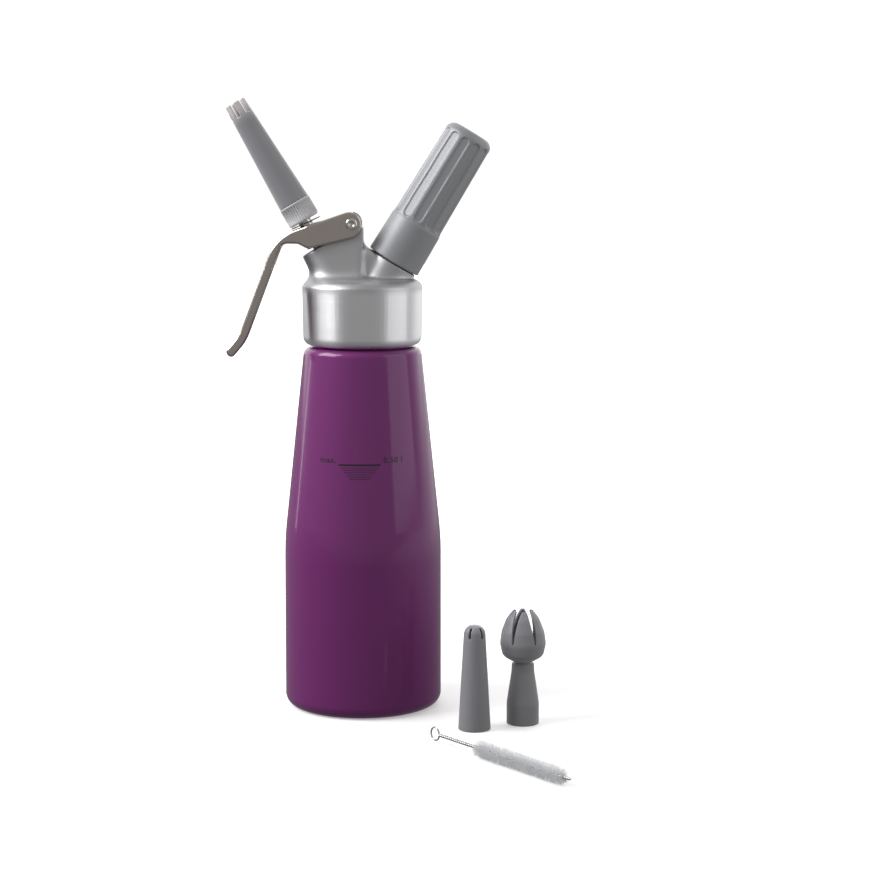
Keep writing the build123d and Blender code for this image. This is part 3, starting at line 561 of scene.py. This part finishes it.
# %% Turned pieces and wire
def turned(name, profile, place, segments=64):
    """A lathe-turned piece: profile is a closed list of (radius, height) in mm, in place's axes."""
    shape = bmesh.new()
    rings = []
    for step in range(segments):
        angle = 2 * math.pi * step / segments
        spoke = Vector((math.cos(angle), math.sin(angle), 0))
        rings.append([shape.verts.new(spoke * (r * MM) + Vector((0, 0, h * MM))) for r, h in profile])
    for near, far in zip(rings, rings[1:] + rings[:1]):
        for i in range(len(profile)):
            j = (i + 1) % len(profile)
            shape.faces.new((near[i], far[i], far[j], near[j]))
    bmesh.ops.remove_doubles(shape, verts=shape.verts, dist=1e-7)
    bmesh.ops.recalc_face_normals(shape, faces=shape.faces)
    piece = from_bmesh(shape, name)
    piece.data.transform(place)
    return smooth_shading(piece)


def wire(name, points, radius, place, fineness=2):
    """A round wire through points in place's axes, as a mesh."""
    data = bpy.data.curves.new(name, "CURVE")
    data.dimensions = "3D"
    data.bevel_depth = radius
    data.bevel_resolution = fineness
    data.use_fill_caps = True
    line = data.splines.new("POLY")
    line.points.add(len(points) - 1)
    for point, spot in zip(line.points, points):
        point.co = (*(place @ Vector(spot)), 1)
    return smooth_shading(as_mesh(link(data, name)))


# %% [markdown]
# ## Bottle
# Its solid is right as it is, so it only gets the lacquer. The fill mark is printed on: a line at
# the highest level for cream, words beside it and fine lines below. They are flat shapes dropped
# onto the curved wall along the view from the front, a hair proud of it. A picture wrapped round
# the bottle could show the same, but drawn shapes stay sharp at any distance.

# %% Fill lines
coat("bottle", lacquer)
wall = BVHTree.FromObject(nodes["bottle"], bpy.context.evaluated_depsgraph_get())
INK = 0.03 * MM
# The main line, in mm, and the fine ones below it, which get shorter by an even step.
MARK_HEIGHT, MARK_LEFT, MARK_RIGHT, MARK_THICK = 128.3, -11.5, 9.2, 0.9
FINE_LINES, FINE_THICK, FINE_FIRST, FINE_STEP, FINE_INSET = 6, 0.28, 1.5, 1.1, 0.9
STRIP_CUTS = 24


def print_on_bottle(mesh):
    """Drops each point of a flat XZ drawing onto the front of the bottle."""
    for vertex in mesh.vertices:
        start = Vector((vertex.co.x, -0.1, vertex.co.z))
        hit = wall.ray_cast(start, Vector((0, 1, 0)))[0]
        vertex.co = hit - Vector((0, INK + vertex.co.y, 0))


def strip(shape, left, right, height, thickness):
    """A level printed line in mm, cut into short lengths so that it can bend round the bottle."""
    rows = []
    for step in range(STRIP_CUTS + 1):
        x = left + (right - left) * step / STRIP_CUTS
        edges = (height - thickness / 2, height + thickness / 2)
        rows.append([shape.verts.new((x * MM, 0, z * MM)) for z in edges])
    for near, far in zip(rows, rows[1:]):
        shape.faces.new((near[0], far[0], far[1], near[1]))


mark = bmesh.new()
strip(mark, MARK_LEFT, MARK_RIGHT, MARK_HEIGHT, MARK_THICK)
for line in range(FINE_LINES):
    inset = FINE_INSET * (line + 1)
    height = MARK_HEIGHT - FINE_FIRST - FINE_STEP * line
    strip(mark, MARK_LEFT + inset, MARK_RIGHT - inset, height, FINE_THICK)
fill_lines = from_bmesh(mark, "fill_lines")
print_on_bottle(fill_lines.data)
dress(fill_lines, printing_ink, "bottle", "lacquer")

# %% [markdown]
# The words are in Blender's own font, a little bolder and wider apart, because printed ink
# spreads. The long edges of their faces are cut in two, so that they too can bend.

# %% Words of the fill mark
WORD_SIZE, WORD_BOLDER = 3.9 * MM, 0.06 * MM


def printed_word(name, text, left):
    """A printed word that starts at left, in mm, with its baseline just above the fill line."""
    curve = bpy.data.curves.new(name, "FONT")
    curve.body = text
    curve.size = WORD_SIZE
    curve.space_character = 1.08
    curve.offset = WORD_BOLDER
    word = as_mesh(link(curve, name))
    shape = bmesh.new()
    shape.from_mesh(word.data)
    bmesh.ops.triangulate(shape, faces=shape.faces)
    bmesh.ops.subdivide_edges(shape, edges=shape.edges, cuts=1)
    baseline = (MARK_HEIGHT + MARK_THICK) * MM
    for vertex in shape.verts:
        vertex.co = Vector((left * MM + vertex.co.x, 0, baseline + vertex.co.y))
    shape.to_mesh(word.data)
    shape.free()
    print_on_bottle(word.data)
    dress(word, printing_ink, "bottle", "lacquer")


printed_word("fill_word_left", "max.", -20.8)
printed_word("fill_word_right", "0.50 l", 10.8)

# %% [markdown]
# ## Head
# One casting, ground smooth before its collar is turned, so every join between dome, neck and boss
# is a soft hollow. The rims and bores are machined last and stay crisp, so the smoothing leaves
# them out and fades on the way to them.

# %% Head casting
CHARGER_BACK, SPOUT_BACK = CHARGER.inverted(), SPOUT.inverted()
# All in mm: what is kept crisp, and where a join starts and ends being soft.
NECK_BORE, BOSS_BORE, COLLAR_TOP = 9.3, 11.6, 215
SOFT_FROM, SOFT_TO, SOFT_BELOW_NECK_RIM, SOFT_BELOW_BOSS_RIM = 215.5, 238, -1.5, -0.8
# The lengths over which the softness grows from 0 to 1.
LOW_FADE, HIGH_FADE, RIM_FADE = 2, 4, 3


def soft_join(point):
    """1 where dome, neck and boss meet on the outside, 0 at the rims and in the bores."""
    height = point.z / MM
    in_boss, in_neck = (CHARGER_BACK @ point) / MM, (SPOUT_BACK @ point) / MM
    if in_neck.xy.length < NECK_BORE or in_boss.xy.length < BOSS_BORE or height < COLLAR_TOP:
        return 0
    by_height = min((height - SOFT_FROM) / LOW_FADE, (SOFT_TO - height) / HIGH_FADE)
    by_rims = min(SOFT_BELOW_BOSS_RIM - in_boss.z, SOFT_BELOW_NECK_RIM - in_neck.z) / RIM_FADE
    return min(by_height, by_rims)


head = rounded_copy("head", "head_casting", grid=0.5 * MM, passes=6)
head = soften(head, soft_join, passes=110)
dress(head, turned_aluminium, "head", "cast_aluminium", "head")
coat("head_gasket", black_rubber)

# %% [markdown]
# ## Lever and its washer
# The lever is pressed from sheet, so its two cheeks meet its web in a bend and not in a corner.
# A point belongs to a bend when it is close both to the web's upper face, as seen from the side,
# and to a cheek's outer face, as seen from above. Only such points are smoothed again. The washer
# on the valve stem is coloured a dark steel grey, as painted shade for the narrow gap between the
# adapter and the lever where it sits.

# %% Lever
BEND_WIDTH, BEND_FADE = 2.6 * MM, 0.8 * MM
# The middle of the web is this flat on both sides of the lever's plane.
WEB_HALF = 3 * MM
WEB_NORMAL = Vector((-0.6, 0, 0.8))


def nearest_of(points):
    """A search tree over points."""
    found = KDTree(len(points))
    for i, point in enumerate(points):
        found.insert(point, i)
    found.balance()
    return found


def bent_edges(piece):
    """A function that says how near a point is to the edges where the cheeks are bent down."""
    web, cheeks = [], []
    for vertex in piece.data.vertices:
        point = vertex.co
        if abs(point.y) < WEB_HALF and vertex.normal.dot(WEB_NORMAL) > 0.5:
            web.append(Vector((point.x, 0, point.z)))
        elif abs(vertex.normal.y) > 0.9 and vertex.normal.y * point.y > 0:
            cheeks.append(Vector((point.x, abs(point.y), 0)))
    web, cheeks = nearest_of(web), nearest_of(cheeks)

    def share_of(point):
        if abs(point.y) < WEB_HALF:
            return 0
        under_web = web.find((point.x, 0, point.z))[2]
        inside_cheek = cheeks.find((point.x, abs(point.y), 0))[2]
        return (BEND_WIDTH - max(under_web, inside_cheek)) / BEND_FADE

    return share_of


lever = rounded_copy("lever", "squeeze_lever", grid=0.25 * MM, passes=8)
lever = soften(lever, bent_edges(lever), passes=60)
dress(lever, pressed_steel, "lever", "lever_steel", "lever")
# Its dark colour is painted shade, not a blackened finish.
coat("lever_washer", shade_dark_washer_steel)

# %% [markdown]
# The lever's rivet is a semi-tubular one: a domed head with a dimple. Both ends are alike, so half
# a profile is drawn, as radius and depth below the end in mm, and mirrored.

# %% Rivet
pin_low, pin_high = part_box("lever_pin")
pin_centre = (pin_low + pin_high) / 2
PIN_RADIUS, PIN_HEAD = 2.0, (pin_high.x - pin_low.x) / 2 / MM
PIN_END, PIN_HEAD_THICK = (pin_high.y - pin_low.y) / 2 / MM, 1.5
DIMPLE_TO_SHANK = [
    (0.0, 0.9), (0.9, 0.85), (1.25, 0.35), (1.5, 0.06), (1.9, 0.0), (2.4, 0.14), (2.85, 0.5),
    (PIN_HEAD, PIN_HEAD_THICK - 0.35), (PIN_HEAD, PIN_HEAD_THICK), (PIN_RADIUS, PIN_HEAD_THICK),
]
half = [(radius, PIN_END - depth) for radius, depth in DIMPLE_TO_SHANK]
rivet_profile = half + [(radius, -height) for radius, height in reversed(half)]
across_lever = Matrix.Translation(pin_centre) @ Matrix.Rotation(math.pi / 2, 4, "X")
rivet = turned("lever_rivet", rivet_profile, across_lever)
dress(rivet, bright_steel, "head", "pin_steel", "lever_pin")

# %% [markdown]
# ## Valve
# A hollow stem, its seals, a spring and the cup that holds the spring. The spring closes up as
# the stem goes down, and is drawn as its own coil.

# %% Valve and spring
for name, material in (
    ("valve_stem", bright_steel), ("spring_retainer", bright_steel),
    ("stem_seal", black_rubber), ("stem_oring", black_rubber),
):
    coat(name, material)

SPRING_WIRE, SPRING_RADIUS, SPRING_TURNS = 1.1 * MM, 5.55 * MM, 5.5
SPRING_FOOT, SPRING_TOP, SPRING_SEAT = -7.45 * MM, 7.25 * MM, -8 * MM
COIL_POINTS = 133
coil = []
for i in range(COIL_POINTS):
    share = i / (COIL_POINTS - 1)
    angle = 2 * math.pi * SPRING_TURNS * share
    height = SPRING_FOOT + (SPRING_TOP - SPRING_FOOT) * share
    coil.append((math.cos(angle) * SPRING_RADIUS, math.sin(angle) * SPRING_RADIUS, height))
spring = wire("valve_spring", coil, SPRING_WIRE / 2, SPOUT, fineness=4)
dress(spring, spring_steel, "head", "spring_steel", "return_spring")
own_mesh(spring)

# %% [markdown]
# ## Adapter
# Its fine ribs give the fingers a hold. They are too fine for the solid, so the adapter is turned
# here as a plain ring with six points to a rib, and those points then dip by a cosine between one
# rib and the next. Cutting forty grooves would give the same shape with far more work.

# %% Ribbed adapter
RING_FOOT, RING_TOP, RING_RADIUS, THREAD_TOP = 14.95, 25.35, 8.25, 33.75
RIBS, RIB_DEPTH, POINTS_PER_RIB = 40, 0.6, 6
RIBBED_BEYOND, RIB_FOOT, RIB_TOP = 8.1, RING_FOOT + 1.3, RING_TOP - 0.9
ring_profile = [
    (3.55, RING_FOOT), (7.3, RING_FOOT), (7.75, RING_FOOT + 0.3),
    (RING_RADIUS, RING_FOOT + 1.1), (RING_RADIUS, RING_FOOT + 1.5),
    (RING_RADIUS, RING_TOP - 1.0), (RING_RADIUS, RING_TOP - 0.8), (RING_RADIUS, RING_TOP - 0.15),
    (RING_RADIUS - 0.15, RING_TOP), (5.6, RING_TOP), (5.6, THREAD_TOP - 0.4),
    (5.2, THREAD_TOP), (3.0, THREAD_TOP), (3.0, RING_TOP), (2.5, RING_TOP - 1.0),
    (2.5, 23.25), (3.55, 23.25),
]
ring = turned("ribbed_adapter", ring_profile, Matrix.Identity(4), RIBS * POINTS_PER_RIB)
for vertex in ring.data.vertices:
    radius, height = vertex.co.xy.length / MM, vertex.co.z / MM
    if radius > RIBBED_BEYOND and RIB_FOOT < height < RIB_TOP:
        turn = math.atan2(vertex.co.y, vertex.co.x)
        dip = RIB_DEPTH * (0.5 - 0.5 * math.cos(RIBS * turn))
        vertex.co.xy *= 1 - dip / radius
ring.data.transform(SPOUT)
dress(smooth_shading(ring), ring_plastic, "adapter", "light_plastic", "tip_adapter")

# %% [markdown]
# The tips are moulded, with small radii on every edge of their notches, slots and petals. The star
# tip is the fitted one, and the other two are spares that stand on the table.

# %% Decorator tips
for source, body, name, finish in (
    ("star_tip", "tip", "star_decorator_tip", thin_end_plastic),
    ("round_tip", "round_tip", "round_decorator_tip", tip_plastic),
    ("tulip_tip", "tulip_tip", "tulip_decorator_tip", tip_plastic),
):
    tip = rounded_copy(source, name, grid=0.22 * MM, passes=12)
    dress(tip, finish, body, "tip_plastic", source)

# %% [markdown]
# ## Charger side
# The holder is a moulded sleeve with long finger grooves. Inside are its metal liner and the gas
# charger, and in the head the needle, seal and check valve. Its band is smooth and bare.

# %% Charger holder and what it holds
holder_sleeve = rounded_copy("charger_holder", "charger_sleeve", grid=0.3 * MM, passes=20)
dress(holder_sleeve, holder_plastic, "holder", "silver_plastic", "charger_holder")
for name, material in (
    ("holder_liner", liner_metal), ("n2o_charger", plated_steel), ("piercing_insert", turned_brass),
    ("charger_seal", black_rubber), ("check_valve", black_rubber),
):
    coat(name, material)

# %% [markdown]
# ## Cleaning brush
# The brush lies on the table, with a matrix of its own too: Z runs along its wire from the loop to
# the tip, and X points up. Its bristles carry it, so the wire is their length above the table.

# %% Axes of the brush
UP = Vector((0, 0, 1))
BRISTLE_RADIUS = 4.5 * MM
BRUSH_START = Vector((37.6 * MM, -83.0 * MM, BRISTLE_RADIUS))
BRUSH_ANGLE = math.radians(-52.6)
BRUSH_OUT = Vector((math.cos(BRUSH_ANGLE), math.sin(BRUSH_ANGLE), 0))
BRUSH_AXES = Matrix((UP, BRUSH_OUT.cross(UP), BRUSH_OUT)).transposed()
BRUSH = Matrix.Translation(BRUSH_START) @ BRUSH_AXES.to_4x4()
print("brush points to", tuple(round(v, 2) for v in BRUSH_OUT))

# %% [markdown]
# Two wires are twisted together and grip nylon bristles between them, so the bristles come out in
# a spiral. At the other end the wires open into a loop. Each wire is drawn as it is in the real
# brush, as one long spiral, and not as a striped rod, because its outline shows the twist.

# %% Brush wire
BRUSH_LENGTH, BRISTLE_START, BRISTLE_END = 94 * MM, 29 * MM, 90 * MM
STRAND_RADIUS, STRAND_OFFSET, TWIST_PITCH = 0.46 * MM, 0.39 * MM, 3.0 * MM
LOOP_RADIUS, LOOP_WIRE, LOOP_ROOT = 3.1 * MM, 0.4 * MM, 0.2 * MM
STEPS_PER_TURN, LOOP_STEPS, LOOP_SWEEP = 12, 40, 1.84

strands = []
steps = int(BRUSH_LENGTH / TWIST_PITCH * STEPS_PER_TURN)
for side in (0, 1):
    twist = []
    for i in range(steps + 1):
        along = BRUSH_LENGTH * i / steps
        angle = 2 * math.pi * along / TWIST_PITCH + math.pi * side
        twist.append((math.cos(angle) * STRAND_OFFSET, math.sin(angle) * STRAND_OFFSET, along))
    strands.append(wire(f"strand_{side}", twist, STRAND_RADIUS, BRUSH))
loop = [(-STRAND_OFFSET, 0, LOOP_ROOT)]
for i in range(LOOP_STEPS + 1):
    angle = math.pi * LOOP_SWEEP * (i / LOOP_STEPS - 0.5)
    loop.append((math.sin(angle) * LOOP_RADIUS, 0, -LOOP_RADIUS - math.cos(angle) * LOOP_RADIUS))
loop.append((STRAND_OFFSET, 0, LOOP_ROOT))
strands.append(wire("strand_loop", loop, LOOP_WIRE, BRUSH))
joined = bmesh.new()
for strand in strands:
    joined.from_mesh(strand.data)
    bpy.data.objects.remove(strand)
brush_wire = smooth_shading(from_bmesh(joined, "twisted_wire"))
dress(brush_wire, bright_steel, "brush", "brush_wire_steel", "brush_wire")

# %% [markdown]
# Each bristle is a slim tapered prism with three sides, which is enough at its thickness. It leaves
# the wire where the twist points at that place, and strays a little by chance. Hair particles would
# be the usual way, but they don't leave Blender with an exported model.

# %% Bristles
random.seed(7)
BRISTLE_COUNT, BRISTLE_SIDES = 3000, 3
BRISTLE_THICK, BRISTLE_TAPER, BRISTLE_FOOT = 0.09 * MM, 0.7, 0.3 * MM
TURN_STRAY, LEAN_STRAY, SHORTEST, LONGEST = 0.28, 0.16, 0.9, 0.985
# The brush is trimmed rounder at both ends: how short the end is, and how soon it is full length.
START_SHARE, START_TRIM, END_SHARE, END_TRIM = 0.75, 3 * MM, 0.6, 5 * MM
tufts = bmesh.new()
for i in range(BRISTLE_COUNT):
    along = BRISTLE_START + (BRISTLE_END - BRISTLE_START) * (i + 0.5) / BRISTLE_COUNT
    angle = 2 * math.pi * along / TWIST_PITCH + math.pi * (i % 2) + random.gauss(0, TURN_STRAY)
    lean = random.gauss(0, LEAN_STRAY)
    reach = BRISTLE_RADIUS * random.uniform(SHORTEST, LONGEST)
    from_start, from_end = (along - BRISTLE_START) / START_TRIM, (BRISTLE_END - along) / END_TRIM
    reach *= min(1, from_start + START_SHARE, from_end + END_SHARE)
    out = Vector((math.cos(angle), math.sin(angle), lean)).normalized()
    side = out.cross(UP).normalized()
    over = out.cross(side)
    foot = Vector((0, 0, along)) + out * BRISTLE_FOOT
    top = Vector((0, 0, along)) + out * reach
    base_ring, tip_ring = [], []
    for corner in range(BRISTLE_SIDES):
        spin = 2 * math.pi * corner / BRISTLE_SIDES
        offset = side * math.cos(spin) + over * math.sin(spin)
        base_ring.append(tufts.verts.new(BRUSH @ (foot + offset * BRISTLE_THICK)))
        tip_ring.append(tufts.verts.new(BRUSH @ (top + offset * BRISTLE_THICK * BRISTLE_TAPER)))
    for corner in range(BRISTLE_SIDES):
        other = (corner + 1) % BRISTLE_SIDES
        tufts.faces.new((base_ring[corner], base_ring[other], tip_ring[other], tip_ring[corner]))
    tufts.faces.new(tip_ring)
    tufts.faces.new(reversed(base_ring))
bmesh.ops.recalc_face_normals(tufts, faces=tufts.faces)
bristles = from_bmesh(tufts, "nylon_bristles")
dress(bristles, bristle_nylon, "brush", "nylon_bristles", "brush_bristles")
